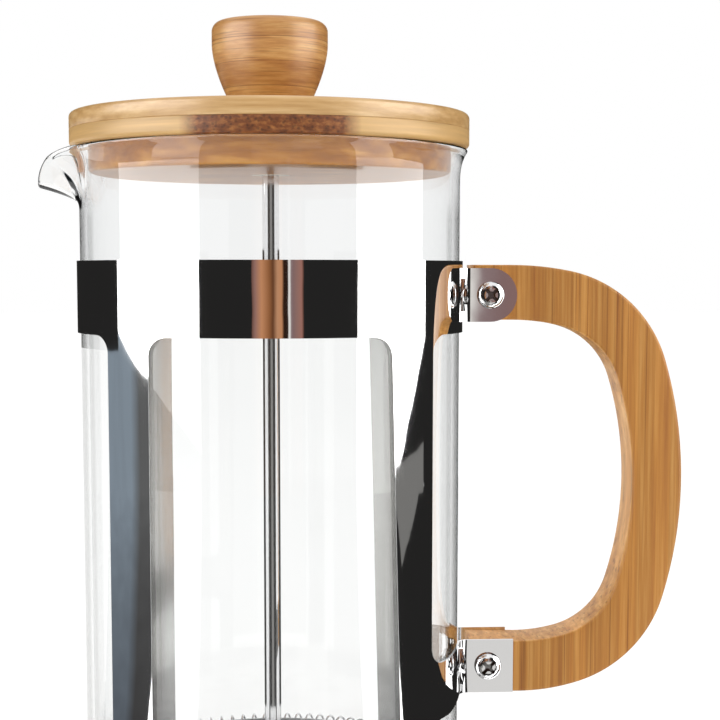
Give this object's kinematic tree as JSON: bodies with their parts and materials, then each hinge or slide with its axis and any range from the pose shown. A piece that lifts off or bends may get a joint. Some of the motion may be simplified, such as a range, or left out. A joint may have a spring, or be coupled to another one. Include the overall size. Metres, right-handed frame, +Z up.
{
  "type": "french press",
  "caption": "Plunger coffee press: clear glass beaker in a polished strip-metal holder with bamboo lid, knob and D-shaped handle.",
  "frame": {"origin": "centre of the bounding box on the table plane; the beaker axis is 24.1 mm towards the spout (-X) from it", "axes": "+Z up along the plunger rod, +X towards the handle, -X towards the spout, -Y the side the screw heads are on"},
  "size_m": [0.1668, 0.1026, 0.2181],
  "materials": {
    "beaker_glass": "clear",
    "holder_chrome": "mirror polished",
    "base_steel": "satin",
    "handle_bamboo": "oiled",
    "screw_steel": "polished",
    "lid_light_bamboo": "oiled",
    "lid_dark_bamboo": "oiled",
    "plug_bamboo": "oiled",
    "bush_plastic": "matte",
    "knob_bamboo": "oiled",
    "insert_brass": "machined",
    "rod_steel": "polished",
    "filter_steel": "satin",
    "spring_steel": "polished",
    "mesh_steel": "woven"
  },
  "bodies": {
    "holder": {"holder_frame": "holder_chrome", "base_cross": "base_steel", "handle": "handle_bamboo", "upper_handle_screw": "screw_steel", "lower_handle_screw": "screw_steel", "upper_sleeve_nut": "screw_steel", "lower_sleeve_nut": "screw_steel"},
    "beaker": {"glass_beaker": "beaker_glass"},
    "lid": {"lid_top_layer": "lid_light_bamboo", "lid_lower_layer": "lid_dark_bamboo", "lid_plug": "plug_bamboo"},
    "bush": {"lid_guide_bush": "bush_plastic"},
    "plunger": {"knob": "knob_bamboo", "knob_insert": "insert_brass", "plunger_rod": "rod_steel", "filter_collar": "rod_steel", "spring_plate": "filter_steel", "coil_spring": "spring_steel", "mesh_screen": "mesh_steel", "cross_plate": "filter_steel", "filter_nut": "rod_steel"}
  },
  "joints": [
    {"name": "beaker_lift", "type": "slide", "parent": "holder", "child": "beaker", "axis": [0, 0, 1], "range_m": [0, 0.16]},
    {"name": "lid_lift", "type": "slide", "parent": "beaker", "child": "lid", "axis": [0, 0, 1], "range_m": [0, 0.18]},
    {"name": "plunger_turn", "type": "hinge", "parent": "lid", "child": "bush", "pos_m": [-0.02407, 0, 0.18], "axis": [0, 0, 1], "continuous": true},
    {"name": "plunger_slide", "type": "slide", "parent": "bush", "child": "plunger", "axis": [0, 0, 1], "range_m": [0, 0.149]}
  ]
}
